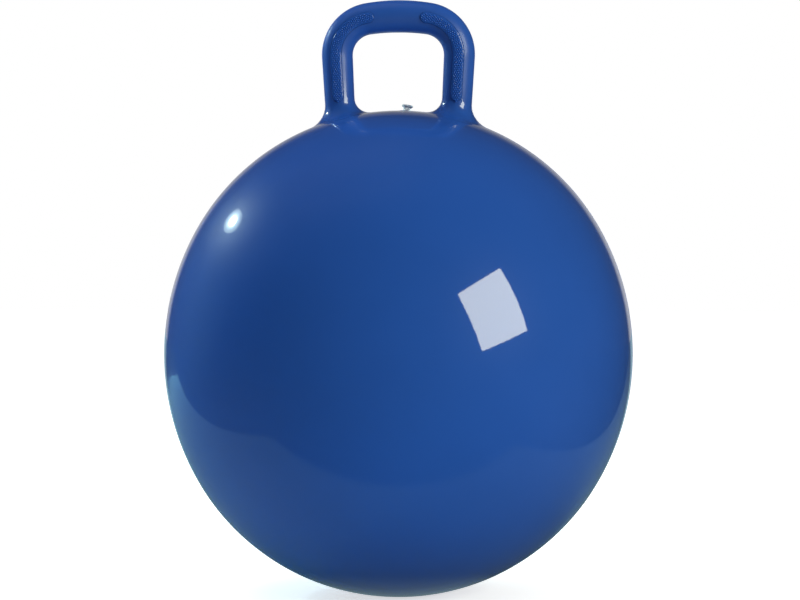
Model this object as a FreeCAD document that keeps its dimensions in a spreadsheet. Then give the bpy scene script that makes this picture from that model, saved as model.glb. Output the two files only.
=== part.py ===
import FreeCAD, Part
import Sketcher
import math
import os
import re

# Hopper ball: a hollow soft vinyl moulding with a loop handle, a bush that is set in its crown,
# and the plug that closes the bush.
# Millimetres. +Z is up and the origin is the middle of the flat that the ball stands on. The handle
# lies in the XZ plane, the front faces -Y and the valve is behind the handle.

DRIVING_SIZES = [
    # the round skin
    ("ball_width", 450.0),          # across the belt, blown up
    ("ball_height", 467.0),         # pole to pole, before its weight flattens it
    ("belt_angle", 30.0),           # latitude where the belt's arc runs into the crown's
    ("rest_width", 60.0),           # the flat that carries the weight
    ("skin_wall", 1.2),
    # the loop handle
    ("handle_rise", 90.0),          # from the crown up to the bar's centreline
    ("handle_spacing", 112.0),      # between the legs' centrelines, level with the crown
    ("leg_splay", 3.0),             # each leg leans outwards, in degrees
    ("bend_radius", 35.0),          # centreline of the two upper bends
    ("bar_radius", 195.0),          # the bar is a shallow arch
    ("bar_thickness", 31.0),        # across the tube at the middle of the bar
    ("leg_thickness", 29.8),        # across the tube at the top of a leg
    ("foot_thickness", 28.0),       # across the tube at its feet
    ("foot_fillet", 16.0),          # where a foot flares into the crown
    ("handle_wall", 2.5),
    # the raised grip pads on the handle's front and back
    ("pad_width", 11.0),
    ("pad_height", 0.8),
    ("pad_gap", 44.0),              # bare bar between the left and right pads
    ("pad_foot_rise", 8.0),         # lowest end of a pad above the crown
    # the valve
    ("valve_back", 35.0),           # behind the handle's plane
    ("valve_side", 4.5),            # to the right of the middle
    ("valve_lean", 8.0),            # the bush sits a little crooked, in degrees to the right
    ("boss_width", 28.0),           # thicker skin round the bush, on the inside
    ("boss_depth", 4.5),            # from the outer skin down to the boss's flat face
    ("seat_width", 16.0),           # the bush's barrel
    ("seat_fit", 0.05),             # radial clearance of the barrel in the skin
    ("collar_height", 2.5),         # the bush stands proud of the skin
    ("collar_round", 1.2),
    ("flange_width", 22.0),         # the bush's flange, under the boss
    ("flange_thickness", 1.6),
    ("tail_width", 12.0),           # the bush's tail inside the ball
    ("tail_length", 7.0),
    ("mouth_chamfer", 0.6),
    ("plug_ring_width", 7.6),       # the plug's two sealing rings
    ("plug_fit", 0.05),             # radial clearance of the rings in the bore
    ("ring_length", 1.6),
    ("ring_land", 0.6),             # the straight part of a ring, above its cone
    ("ring_pitch", 4.5),
    ("ring_above_tip", 1.0),        # from the tip's cone up to the lower ring
    ("plug_neck_width", 6.8),
    ("plug_head_width", 10.5),
    ("plug_head_thickness", 1.5),
    ("plug_head_flare", 1.2),       # the neck flares out under the head
    ("plug_head_round", 0.6),
    ("plug_proud", 7.5),            # from the skin up to the underside of the head
    ("plug_length", 18.0),          # from the underside of the head down to the tip
    ("plug_tip_width", 4.6),
    ("plug_tip_length", 3.0),
]

WORKED_OUT_SIZES = [
    # the outline: a crown arc above and a base arc below, joined by the flatter arc of the belt
    ("crown_rise", "(ball_height - ball_width) / 2 / (1 - tan(belt_angle / 2))"),
    ("belt_offset", "crown_rise / tan(belt_angle)"),
    ("belt_radius", "ball_width / 2 + belt_offset"),
    ("crown_radius", "belt_radius - crown_rise / sin(belt_angle)"),
    ("rest_depth", "crown_radius - sqrt(crown_radius^2 - (rest_width / 2)^2)"),
    ("middle_height", "ball_height / 2 - rest_depth"),
    ("crown_centre", "middle_height + crown_rise"),
    ("base_centre", "middle_height - crown_rise"),
    ("crown_top", "crown_centre + crown_radius"),
    # the handle's centreline: leg, bend, arched bar, bend, leg
    ("bar_centre", "crown_top + handle_rise - bar_radius"),
    ("bend_reach", "bar_radius - bend_radius"),
    ("leg_side", "handle_spacing / 2 - bend_radius * cos(leg_splay)"),
    ("leg_lift", "bend_radius * sin(leg_splay) + bar_radius - handle_rise"),
    ("leg_run", "leg_side * sin(leg_splay) + leg_lift * cos(leg_splay)"),
    ("bend_run", "sqrt(leg_run^2 + bend_reach^2 - leg_side^2 - leg_lift^2) - leg_run"),
    ("bend_x", "leg_side + bend_run * sin(leg_splay)"),
    ("bend_z", "bar_centre + leg_lift + bend_run * cos(leg_splay)"),
    ("foot_reach", "handle_spacing / 2 + foot_thickness"),
    ("leg_depth", "crown_radius - sqrt(crown_radius^2 - foot_reach^2) + foot_thickness / 2"),
    ("leg_start", "crown_top - leg_depth"),
    ("leg_start_x", "handle_spacing / 2 - leg_depth * tan(leg_splay)"),
    # the valve
    ("back_angle", "asin(valve_back / crown_radius)"),
    ("side_angle", "asin(valve_side / crown_radius)"),
    ("bore_width", "plug_ring_width + 2 * plug_fit"),
    ("flange_bottom", "boss_depth + flange_thickness"),
    ("tail_bottom", "flange_bottom + tail_length"),
    ("tip_bottom", "plug_proud - plug_length"),
    ("tip_top", "tip_bottom + plug_tip_length"),
    ("lower_ring", "tip_top + ring_above_tip"),
    ("upper_ring", "lower_ring + ring_pitch"),
]
SIZE_NAMES = {name for name, _ in DRIVING_SIZES + WORKED_OUT_SIZES}

# out of the crown along the valve: back and to the side over the crown, then the lean
VALVE_PLACE = (
    "placement(vector(0; 0; crown_centre); rotation(vector(1; 0; 0); -back_angle))"
    " * placement(vector(0; 0; 0); rotation(vector(0; 1; 0); side_angle))"
    " * placement(vector(0; 0; crown_radius); rotation(vector(0; 1; 0); valve_lean))"
)

_, START, END, CENTRE = range(4)    # a sketch's numbers for the points of a curve
ORIGIN = (-1, START)
Y_AXIS = -2
NEAR = 0.01                         # a point this close to a surface lies on it
EDGE_SAMPLES = 7

doc = FreeCAD.newDocument("hopper_ball")
sheet = doc.addObject("Spreadsheet::Sheet", "sizes")


def fill_sheet():
    cells = [(name, str(value)) for name, value in DRIVING_SIZES]
    cells += [(name, "=" + formula) for name, formula in WORKED_OUT_SIZES]
    for row, (name, content) in enumerate(cells, start=1):
        sheet.set(f"A{row}", name)
        sheet.set(f"B{row}", content)
        sheet.setAlias(f"B{row}", name)
    doc.recompute()


def size(expression):
    """What an expression of the sheet's sizes comes to, with angles in degrees."""
    value = sheet.evalExpression(expression)
    return float(getattr(value, "Value", value))


def bind(thing, target, expression):
    """Ties a property to an expression of the sheet's sizes."""
    def with_sheet(word):
        return "sizes." + word[0] if word[0] in SIZE_NAMES else word[0]
    thing.setExpression(target, re.sub("[a-z_]+", with_sheet, expression))


# ---- sketches ----

def new_body(name):
    body = doc.addObject("PartDesign::Body", name)
    body.Label = name
    return body


def new_sketch(body, name, plane):
    """A sketch on one of the body's own origin planes."""
    sketch = body.newObject("Sketcher::SketchObject", f"{body.Name}_{name}")
    origin_plane = next(f for f in body.Origin.OriginFeatures if f.Role == plane)
    sketch.AttachmentSupport = [(origin_plane, "")]
    sketch.MapMode = "FlatFace"
    return sketch


def at(x, y):
    return FreeCAD.Vector(x, y, 0)


def heading(angle):
    """A unit vector at an angle in degrees."""
    return at(math.cos(math.radians(angle)), math.sin(math.radians(angle)))


def add_line(sketch, start, end):
    return sketch.addGeometry(Part.LineSegment(start, end))


def add_arc(sketch, centre, radius, from_angle, to_angle):
    """An arc drawn counter-clockwise between two angles in degrees."""
    circle = Part.Circle(centre, FreeCAD.Vector(0, 0, 1), radius)
    return sketch.addGeometry(Part.ArcOfCircle(circle, math.radians(from_angle), math.radians(to_angle)))


def constrain(sketch, kind, *places):
    sketch.addConstraint(Sketcher.Constraint(kind, *places))


def dimension(sketch, kind, name, expression, *places):
    """A dimension that follows the sheet, an angle in degrees."""
    value = size(expression)
    if kind == "Angle":
        value = math.radians(value)
    index = sketch.addConstraint(Sketcher.Constraint(kind, *places, value))
    sketch.renameConstraint(index, name)
    bind(sketch, "Constraints." + name, expression)


def add_feature(body, kind, name, **properties):
    feature = body.newObject("PartDesign::" + kind, f"{body.Name}_{name}")
    for key, value in properties.items():
        setattr(feature, key, value)
    doc.recompute()
    return feature


def revolve(body, sketch, name, kind="Revolution"):
    return add_feature(body, kind, name, Profile=sketch, ReferenceAxis=(sketch, ["V_Axis"]), Angle=360)


# ---- the round skin ----

def add_ball(body, inset="0"):
    """The ball as a solid of revolution, its surface `inset` inside the outer skin."""
    crown_radius = size(f"crown_radius - {inset}")
    belt_radius = size(f"belt_radius - {inset}")
    belt_angle = size("belt_angle")
    base = at(0, size("base_centre"))
    crown = at(0, size("crown_centre"))
    belt = at(size("belt_offset"), size("middle_height"))
    floor = size(inset)
    rest_angle = math.degrees(math.asin((base.y - floor) / crown_radius))
    rest_edge = base + heading(180 + rest_angle) * crown_radius

    # drawn in front of the axis, so that the surface's seam stays clear of the feet and the valve
    sketch = new_sketch(body, "outline", "YZ_Plane")
    base_arc = add_arc(sketch, base, crown_radius, 180 + belt_angle, 180 + rest_angle)
    lower_belt = add_arc(sketch, belt, belt_radius, 180, 180 + belt_angle)
    upper_belt = add_arc(sketch, belt, belt_radius, 180 - belt_angle, 180)
    crown_arc = add_arc(sketch, crown, crown_radius, 90, 180 - belt_angle)
    rest = add_line(sketch, rest_edge, at(0, floor))
    axis = add_line(sketch, at(0, floor), at(0, crown.y + crown_radius))

    constrain(sketch, "Coincident", base_arc, END, rest, START)
    constrain(sketch, "Coincident", rest, END, axis, START)
    constrain(sketch, "Coincident", axis, END, crown_arc, START)
    constrain(sketch, "Tangent", base_arc, START, lower_belt, END)
    constrain(sketch, "Tangent", upper_belt, START, crown_arc, END)
    # the belt has an edge where it is widest, so that the ball's extent is exact
    constrain(sketch, "Coincident", lower_belt, START, upper_belt, END)
    constrain(sketch, "Coincident", lower_belt, CENTRE, upper_belt, CENTRE)
    constrain(sketch, "Horizontal", upper_belt, CENTRE, upper_belt, END)
    constrain(sketch, "Horizontal", rest)
    constrain(sketch, "PointOnObject", axis, START, Y_AXIS)
    constrain(sketch, "PointOnObject", axis, END, Y_AXIS)
    constrain(sketch, "PointOnObject", base_arc, CENTRE, Y_AXIS)
    constrain(sketch, "PointOnObject", crown_arc, CENTRE, Y_AXIS)
    dimension(sketch, "DistanceY", "base_centre_height", "base_centre", *ORIGIN, base_arc, CENTRE)
    dimension(sketch, "DistanceY", "crown_centre_height", "crown_centre", *ORIGIN, crown_arc, CENTRE)
    dimension(sketch, "DistanceX", "belt_centre_offset", "belt_offset", *ORIGIN, upper_belt, CENTRE)
    dimension(sketch, "DistanceY", "belt_centre_height", "middle_height", *ORIGIN, upper_belt, CENTRE)
    dimension(sketch, "Radius", "belt_arc_radius", f"belt_radius - {inset}", upper_belt)
    dimension(sketch, "DistanceY", "rest_height", inset, *ORIGIN, rest, START)
    return revolve(body, sketch, "ball")


# ---- the handle ----

def bend_end_angle():
    """Where a bend runs into the bar, as seen from the bar's centre, in degrees."""
    return math.degrees(math.atan2(size("bend_z - bar_centre"), size("bend_x")))


def add_centreline(body):
    """The handle's centreline, from inside the ball up one leg, over the bar and down the other."""
    splay = size("leg_splay")
    bend_radius = size("bend_radius")
    turn = bend_end_angle()
    right_bend = at(size("bend_x"), size("bend_z"))
    left_bend = at(-size("bend_x"), size("bend_z"))
    right_leg_top = right_bend + heading(-splay) * bend_radius
    left_leg_top = left_bend + heading(180 + splay) * bend_radius
    right_foot = at(size("leg_start_x"), size("leg_start"))
    left_foot = at(-size("leg_start_x"), size("leg_start"))

    sketch = new_sketch(body, "centreline", "XZ_Plane")
    right_leg = add_line(sketch, right_foot, right_leg_top)
    right_arc = add_arc(sketch, right_bend, bend_radius, -splay, turn)
    bar_arc = add_arc(sketch, at(0, size("bar_centre")), size("bar_radius"), turn, 180 - turn)
    left_arc = add_arc(sketch, left_bend, bend_radius, 180 - turn, 180 + splay)
    left_leg = add_line(sketch, left_leg_top, left_foot)

    constrain(sketch, "Tangent", right_leg, END, right_arc, START)
    constrain(sketch, "Tangent", right_arc, END, bar_arc, START)
    constrain(sketch, "Tangent", bar_arc, END, left_arc, START)
    constrain(sketch, "Tangent", left_arc, END, left_leg, START)
    constrain(sketch, "Symmetric", right_leg, START, left_leg, END, Y_AXIS)
    constrain(sketch, "Symmetric", right_leg, END, left_leg, START, Y_AXIS)
    constrain(sketch, "PointOnObject", bar_arc, CENTRE, Y_AXIS)
    dimension(sketch, "Radius", "bend_arc_radius", "bend_radius", right_arc)
    dimension(sketch, "Radius", "bar_arc_radius", "bar_radius", bar_arc)
    dimension(sketch, "DistanceY", "bar_centre_height", "bar_centre", *ORIGIN, bar_arc, CENTRE)
    dimension(sketch, "Angle", "leg_lean", "90 - leg_splay", right_leg)
    dimension(sketch, "DistanceX", "foot_side", "leg_start_x", *ORIGIN, right_leg, START)
    dimension(sketch, "DistanceY", "foot_height", "leg_start", *ORIGIN, right_leg, START)
    doc.recompute()
    return sketch


def add_section(body, name, path, edge, along, radius):
    """A circle square to the handle's centreline."""
    sketch = body.newObject("Sketcher::SketchObject", f"{body.Name}_{name}")
    sketch.AttachmentSupport = [(path, edge)]
    sketch.MapMode = "NormalToEdge"
    sketch.MapPathParameter = along
    circle = sketch.addGeometry(Part.Circle(at(0, 0), FreeCAD.Vector(0, 0, 1), size(radius)))
    constrain(sketch, "Coincident", circle, CENTRE, *ORIGIN)
    dimension(sketch, "Radius", "tube_radius", radius, circle)
    return sketch


def add_handle(body, growth="0"):
    """The handle's bar and legs, `growth` added to its radius. It thickens from the feet to the bar."""
    path = add_centreline(body)
    stations = [
        ("right_foot", "Edge1", 0, "foot_thickness"),
        ("right_leg_top", "Edge1", 1, "leg_thickness"),
        ("bar_middle", "Edge3", 0.5, "bar_thickness"),
        ("left_leg_top", "Edge5", 0, "leg_thickness"),
        ("left_foot", "Edge5", 1, "foot_thickness"),
    ]
    sections = [
        add_section(body, name, path, edge, along, f"{thickness} / 2 + {growth}")
        for name, edge, along, thickness in stations
    ]
    return add_feature(body, "AdditivePipe", "handle", Profile=sections[0], Spine=path,
                       Transformation="Multisection", Sections=sections[1:])


def add_foot_fillets(body, inset, radius):
    """Flares both feet of the handle into the crown, whose surface is `inset` inside the outer one."""
    centre = FreeCAD.Vector(0, 0, size("crown_centre"))
    crown_radius = size(f"crown_radius - {inset}")
    nearest = size("handle_spacing / 2 - foot_thickness")

    def is_foot_edge(edge):
        if edge.Degenerated:
            return False
        points = edge.discretize(Number=EDGE_SAMPLES)
        on_crown = all(abs((p - centre).Length - crown_radius) < NEAR for p in points)
        return on_crown and all(abs(p.x) > nearest for p in points)

    edges = [f"Edge{n}" for n, edge in enumerate(body.Shape.Edges, start=1) if is_foot_edge(edge)]
    fillet = add_feature(body, "Fillet", "foot_fillets", Base=(body.Tip, edges))
    bind(fillet, "Radius", radius)
    doc.recompute()


# ---- the grip pads ----

def join_ends(sketch, curves):
    """Makes a closed chain of curves tangent where the end of each meets the next."""
    for curve, following in zip(curves, curves[1:] + curves[:1]):
        gaps = [
            ((sketch.getPoint(curve, a) - sketch.getPoint(following, b)).Length, a, b)
            for a in (START, END) for b in (START, END)
        ]
        _, end, start = min(gaps)
        constrain(sketch, "Tangent", curve, end, following, start)


def add_pad_outline(sketch, side):
    """A round-ended strip that follows the handle's centreline from the bar down one leg.
    side is 1 for the right leg and -1 for the left."""
    half = size("pad_width / 2")
    splay = size("leg_splay")
    bend_radius, bar_radius = size("bend_radius"), size("bar_radius")
    bend = at(side * size("bend_x"), size("bend_z"))
    bar = at(0, size("bar_centre"))
    bar_end = math.degrees(math.acos(size("(pad_gap / 2 + pad_width / 2) / bar_radius")))
    turn = bend_end_angle()

    def facing(angle):
        return angle if side > 0 else 180 - angle

    def sided_arc(centre, radius, from_angle, to_angle):
        return add_arc(sketch, centre, radius, *sorted((facing(from_angle), facing(to_angle))))

    outward = heading(facing(-splay))
    down = heading(facing(-90 - splay))
    leg_top = bend + outward * bend_radius
    foot_height = "crown_top + pad_foot_rise + pad_width / 2"
    foot = leg_top + down * ((leg_top.y - size(foot_height)) / -down.y)
    tip = bar + heading(facing(bar_end)) * bar_radius

    outer_bar = sided_arc(bar, bar_radius + half, turn, bar_end)
    outer_bend = sided_arc(bend, bend_radius + half, -splay, turn)
    outer_leg = add_line(sketch, leg_top + outward * half, foot + outward * half)
    foot_end = sided_arc(foot, half, -180 - splay, -splay)
    inner_leg = add_line(sketch, foot - outward * half, leg_top - outward * half)
    inner_bend = sided_arc(bend, bend_radius - half, -splay, turn)
    inner_bar = sided_arc(bar, bar_radius - half, turn, bar_end)
    bar_tip = sided_arc(tip, half, bar_end, bar_end + 180)
    outer_side = [outer_bar, outer_bend, outer_leg]
    inner_side = [inner_leg, inner_bend, inner_bar]
    join_ends(sketch, [*outer_side, foot_end, *inner_side, bar_tip])

    name = "right" if side > 0 else "left"
    sign = "" if side > 0 else "-1 * "
    constrain(sketch, "PointOnObject", outer_bar, CENTRE, Y_AXIS)
    constrain(sketch, "Coincident", outer_bar, CENTRE, inner_bar, CENTRE)
    constrain(sketch, "Coincident", outer_bend, CENTRE, inner_bend, CENTRE)
    constrain(sketch, "Parallel", outer_leg, inner_leg)
    dimension(sketch, "DistanceY", f"{name}_bar_height", "bar_centre", *ORIGIN, outer_bar, CENTRE)
    dimension(sketch, "DistanceX", f"{name}_bend_side", sign + "bend_x", *ORIGIN, outer_bend, CENTRE)
    dimension(sketch, "DistanceY", f"{name}_bend_height", "bend_z", *ORIGIN, outer_bend, CENTRE)
    dimension(sketch, "Radius", f"{name}_outer_radius", "bar_radius + pad_width / 2", outer_bar)
    dimension(sketch, "Radius", f"{name}_inner_radius", "bar_radius - pad_width / 2", inner_bar)
    dimension(sketch, "DistanceX", f"{name}_tip_side", sign + "(pad_gap / 2 + pad_width / 2)",
              *ORIGIN, bar_tip, CENTRE)
    dimension(sketch, "DistanceY", f"{name}_foot_height", foot_height, *ORIGIN, foot_end, CENTRE)
    dimension(sketch, "Angle", f"{name}_leg_lean", f"270 - {sign}leg_splay", outer_leg)


def build_grip_pads():
    """The handle, thicker by the pads' height, wherever a strip from front to back runs through it."""
    strips = new_body("pad_strips")
    outline = new_sketch(strips, "outline", "XZ_Plane")
    for side in (1, -1):
        add_pad_outline(outline, side)
    through = add_feature(strips, "Pad", "front_to_back", Profile=outline, SideType="Symmetric")
    bind(through, "Length", "2 * bar_thickness")
    pads = new_body("grip_pads")
    add_handle(pads, "pad_height")
    add_feature(pads, "Boolean", "strips_only", Type="Common", Group=[strips])
    return pads


# ---- the hollow skin ----

def add_valve_cylinder(body, name, radius, bottom, height):
    """Cuts a cylinder on the valve's axis, from `bottom` above the outer skin, `height` long."""
    to_bottom = f"placement(vector(0; 0; {bottom}); rotation(vector(0; 0; 1); 0))"
    cylinder = add_feature(body, "SubtractiveCylinder", name)
    bind(cylinder, "Radius", radius)
    bind(cylinder, "Height", height)
    bind(cylinder, "Placement", f"{VALVE_PLACE} * {to_bottom}")
    doc.recompute()


def build_air_space():
    """What the skin encloses: the ball and the handle inside their walls, less the valve's boss."""
    air = new_body("air_space")
    add_ball(air, "skin_wall")
    add_handle(air, "-handle_wall")
    add_foot_fillets(air, "skin_wall", "foot_fillet + skin_wall")
    add_valve_cylinder(air, "boss", "boss_width / 2", "-boss_depth", "2 * boss_depth")
    return air


def build_ball_skin():
    """Ball, handle and grip pads as one hollow moulding, with the hole for the valve's bush."""
    grip_pads = build_grip_pads()
    air_space = build_air_space()
    skin = new_body("ball_skin")
    add_ball(skin)
    add_handle(skin)
    add_foot_fillets(skin, "0", "foot_fillet")
    add_feature(skin, "Boolean", "with_pads", Type="Fuse", Group=[grip_pads])
    add_feature(skin, "Boolean", "hollow", Type="Cut", Group=[air_space])
    add_valve_cylinder(skin, "seat_hole", "seat_width / 2 + seat_fit", "-2 * boss_depth", "4 * boss_depth")
    return skin


# ---- the valve ----

def add_turned_form(body, corners):
    """A solid turned about the valve's axis. Each corner is a radius and a height above the skin."""
    sketch = new_sketch(body, "profile", "XZ_Plane")
    points = [at(size(radius), size(height)) for radius, height in corners]
    edges = [add_line(sketch, a, b) for a, b in zip(points, points[1:] + points[:1])]
    for edge, following in zip(edges, edges[1:] + edges[:1]):
        constrain(sketch, "Coincident", edge, END, following, START)
    for number, (edge, (radius, height)) in enumerate(zip(edges, corners)):
        if radius == "0":
            constrain(sketch, "PointOnObject", edge, START, Y_AXIS)
        else:
            dimension(sketch, "DistanceX", f"radius_{number}", radius, *ORIGIN, edge, START)
        dimension(sketch, "DistanceY", f"height_{number}", height, *ORIGIN, edge, START)
    revolve(body, sketch, "turned")


def round_rim(body, rim_radius, height, radius):
    """Rounds the circular edge of a turned form."""
    def is_rim(edge):
        if not isinstance(edge.Curve, Part.Circle):
            return False
        right_radius = abs(edge.Curve.Radius - size(rim_radius)) < NEAR
        return right_radius and abs(edge.Curve.Center.z - size(height)) < NEAR

    edges = [f"Edge{n}" for n, edge in enumerate(body.Tip.Shape.Edges, start=1) if is_rim(edge)]
    fillet = add_feature(body, "Fillet", "round_rim", Base=(body.Tip, edges))
    bind(fillet, "Radius", radius)
    doc.recompute()


def build_valve_seat():
    """The soft bush: a collar outside, a barrel through the skin, a flange under its boss and a tail."""
    seat = new_body("valve_seat")
    add_turned_form(seat, [
        ("bore_width / 2 + mouth_chamfer", "collar_height"),
        ("seat_width / 2", "collar_height"),
        ("seat_width / 2", "-boss_depth"),
        ("flange_width / 2", "-boss_depth"),
        ("flange_width / 2", "-flange_bottom"),
        ("tail_width / 2", "-flange_bottom"),
        ("tail_width / 2", "-tail_bottom"),
        ("bore_width / 2", "-tail_bottom"),
        ("bore_width / 2", "collar_height - mouth_chamfer"),
    ])
    round_rim(seat, "seat_width / 2", "collar_height", "collar_round")
    bind(seat, "Placement", VALVE_PLACE)
    return seat


def ring_corners(bottom):
    """A sealing ring, coned below so that it pushes in, and square above so that it holds."""
    return [
        ("plug_neck_width / 2", f"{bottom} + ring_length"),
        ("plug_ring_width / 2", f"{bottom} + ring_length"),
        ("plug_ring_width / 2", f"{bottom} + ring_length - ring_land"),
        ("plug_neck_width / 2", bottom),
    ]


def build_valve_plug():
    """The push-in plug: a flat head, a neck, two sealing rings and a coned tip."""
    plug = new_body("valve_plug")
    add_turned_form(plug, [
        ("0", "plug_proud + plug_head_thickness"),
        ("plug_head_width / 2", "plug_proud + plug_head_thickness"),
        ("plug_head_width / 2", "plug_proud"),
        ("plug_neck_width / 2", "plug_proud - plug_head_flare"),
        *ring_corners("upper_ring"),
        *ring_corners("lower_ring"),
        ("plug_neck_width / 2", "tip_top"),
        ("plug_tip_width / 2", "tip_bottom"),
        ("0", "tip_bottom"),
    ])
    round_rim(plug, "plug_head_width / 2", "plug_proud + plug_head_thickness", "plug_head_round")
    bind(plug, "Placement", VALVE_PLACE)
    return plug


# ---- the whole object ----

def check(parts):
    doc.recompute()
    for thing in doc.Objects:
        if "Invalid" in thing.State or "Error" in thing.State:
            raise RuntimeError(f"{thing.Name} did not build: {thing.State}")
    for part in parts:
        if part.Shape.isNull() or not part.Shape.isValid() or len(part.Shape.Solids) != 1:
            raise RuntimeError(f"{part.Label} is not one sound solid")
        print(f"{part.Label}: {part.Shape.Volume:.0f} cubic mm")


def main():
    fill_sheet()
    parts = [build_ball_skin(), build_valve_seat(), build_valve_plug()]
    check(parts)
    os.makedirs("parts", exist_ok=True)
    for part in parts:
        part.Shape.exportStep(f"parts/{part.Label}.step")


main()
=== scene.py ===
"""A hopper ball: its looks and its studio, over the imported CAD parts."""

import math
from functools import partial

import bmesh
import bpy
import numpy as np
from mathutils import Matrix, Vector


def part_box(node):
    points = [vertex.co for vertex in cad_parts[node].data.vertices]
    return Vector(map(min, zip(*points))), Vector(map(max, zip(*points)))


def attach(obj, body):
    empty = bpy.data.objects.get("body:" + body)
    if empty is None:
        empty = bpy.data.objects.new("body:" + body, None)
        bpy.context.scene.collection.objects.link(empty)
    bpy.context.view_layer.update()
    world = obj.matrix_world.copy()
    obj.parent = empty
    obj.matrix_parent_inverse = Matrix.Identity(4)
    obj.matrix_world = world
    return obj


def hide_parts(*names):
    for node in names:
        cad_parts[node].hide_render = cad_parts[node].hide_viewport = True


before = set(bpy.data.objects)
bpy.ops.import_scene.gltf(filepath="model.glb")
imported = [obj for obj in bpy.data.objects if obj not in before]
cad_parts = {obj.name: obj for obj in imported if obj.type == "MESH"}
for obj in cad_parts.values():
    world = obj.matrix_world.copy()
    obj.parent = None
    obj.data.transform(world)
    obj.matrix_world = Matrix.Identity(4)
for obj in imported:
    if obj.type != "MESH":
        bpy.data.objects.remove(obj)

bl_info = {
    "name": "Hopper Ball",
    "version": (1, 0, 0),
    "blender": (4, 5, 0),
    "location": "View3D > Sidebar > Hopper Ball",
    "description": "Builds a hopper ball with a loop handle, its valve and a pale studio",
    "category": "Add Mesh",
}

MM = 0.001
UP = Vector((0, 0, 1))
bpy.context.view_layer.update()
SKIN_LOW, SKIN_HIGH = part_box("ball_skin")
PHOTO_WIDTH = 800  # pixels
SENSOR_WIDTH = 36.0  # Blender's own, in millimetres

SHELL_FACES = 56  # quads along one side of the cube that becomes the ball
FLARE_RINGS = 9  # loops up each foot's flare
LEG_RINGS = 11  # loops up a leg
BEND_STEPS = 24  # round a bend
BAR_STEPS = 10  # along half the bar
CLEAR_OF_FLARE = 1.05  # how much wider than the flare the crown is opened for a leg
CLEAR_OF_OPENING = 1.06  # how much wider still its rim is rounded
NEAR_MIDDLE = 0.05 * MM  # points this near the middle plane belong on it
HOLE_CUTS = 3  # each edge round the valve's hole is cut in four
HOLE_OPENING = 1.4  # what is cleared for the valve, in radii of its hole
HOLE_RINGS = (1.8, 1.5, 1.25, 1.08, 1.0)  # loops round it, from the outer rim to the hole itself
REST_SOFTNESS = 0.5 * MM  # how soft the resting patch's edge is
TURN_STEPS = 64  # round a turned form
SHARP_EDGE = math.radians(25)  # edges that turn more than this are rounded
SMOOTH_EDGE = math.radians(40)  # and those that turn less than this are shaded smooth
WELD = 0.001 * MM  # points this near are one point
STEP = 1e-5  # for slopes of a distance, in metres
SETTLE_ROUNDS = 6  # steps that bring a point onto the surface
STRIP_CELLS = (110, 14)  # along and across a grip strip
DOME_CELLS = (8, 4)  # round and up a grip dome, which repeats hundreds of times
BUMP_MARGIN = 0.3  # how far domes keep off the rolled edge, in widths of a dome

COLOUR_A, COLOUR_B = 6, 7  # a colour Mix node's sockets, whose names repeat
SCUFF_WAVER = 12 * MM  # how far the hairline scuffs wander
FLOOR_SIZE = 12  # metres
PHOTO_SHIFT = (1.7, -2.0)  # pixels, right and up
BACKDROP_EDGE = {"From Min": 0.905, "From Max": 0.940}  # how squarely behind the backdrop begins
EDGE_BLUR = 0.01  # half the blur of the table's edges, in metres
# the table's front, left and right edges, each the line across * x + away * y = reach, as the camera faces
TABLE_EDGES = ((0.0, 1.0, -0.28), (0.82, 0.572, -0.495), (-0.917, 0.398, -0.420))
# the small lamp's ellipses: width in metres, and radiance
SMALL_LAMP_RINGS = ((0.09, 100.0), (0.125, 12.0), (0.17, 6.0), (0.24, 3.0))


def length(name, description, default):
    """A size in metres that the user can change."""
    return bpy.props.FloatProperty(name=name, description=description, default=default,
                                   unit="LENGTH", precision=4)


def angle(name, description, degrees):
    """An angle that the user can change."""
    return bpy.props.FloatProperty(name=name, description=description,
                                   default=math.radians(degrees), subtype="ANGLE")


def linear(hex_colour):
    """An sRGB hex colour as the linear red, green and blue that the shaders take."""
    shares = [int(hex_colour[start:start + 2], 16) / 255 for start in (1, 3, 5)]
    return [share / 12.92 if share <= 0.04045 else ((share + 0.055) / 1.055) ** 2.4 for share in shares]


def colour(name, description, hex_colour):
    """A colour that the user can change."""
    return bpy.props.FloatVectorProperty(name=name, description=description, default=linear(hex_colour),
                                         subtype="COLOR", min=0, max=1)


# ---- what the user can change ----

class HopperSkinSizes(bpy.types.PropertyGroup):
    ball_width: length("Ball width", "Across the ball at its widest", SKIN_HIGH[0] - SKIN_LOW[0])
    ball_height: length("Ball height", "From the floor to the crown, less the flat it rests on", 0.467)
    belt_angle: angle("Belt angle", "Half the share of the outline that the flatter belt takes", 30)
    rest_width: length("Rest width", "Across the flat patch that the ball stands on", 0.060)
    skin_wall: length("Skin wall", "Thickness of the skin", 0.0012)
    handle_rise: length("Handle rise", "From the crown to the middle of the bar", 0.090)
    handle_spacing: length("Handle spacing", "Between the two legs where they leave the crown", 0.112)
    leg_splay: angle("Leg splay", "How far each leg leans out", 3)
    bend_radius: length("Bend radius", "Of the handle's upper corners, to the tube's middle", 0.035)
    bar_radius: length("Bar radius", "Of the handle's arched top, to the tube's middle", 0.195)
    bar_thickness: length("Bar thickness", "Across the tube at the top", 0.031)
    leg_thickness: length("Leg thickness", "Across the tube where the leg meets the bend", 0.0298)
    foot_thickness: length("Foot thickness", "Across the tube where the leg leaves the ball", 0.028)
    foot_fillet: length("Foot fillet", "Radius of the flare from the ball into the leg", 0.016)
    skin_inset: length("Skin inset", "Keeps the raised lines inside the frame's box", 0.00022)
    seam_width: length("Seam width", "Across the raised line where the mould's halves met", 0.0008)
    seam_height: length("Seam height", "How far that line stands out", 0.0002)


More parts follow.
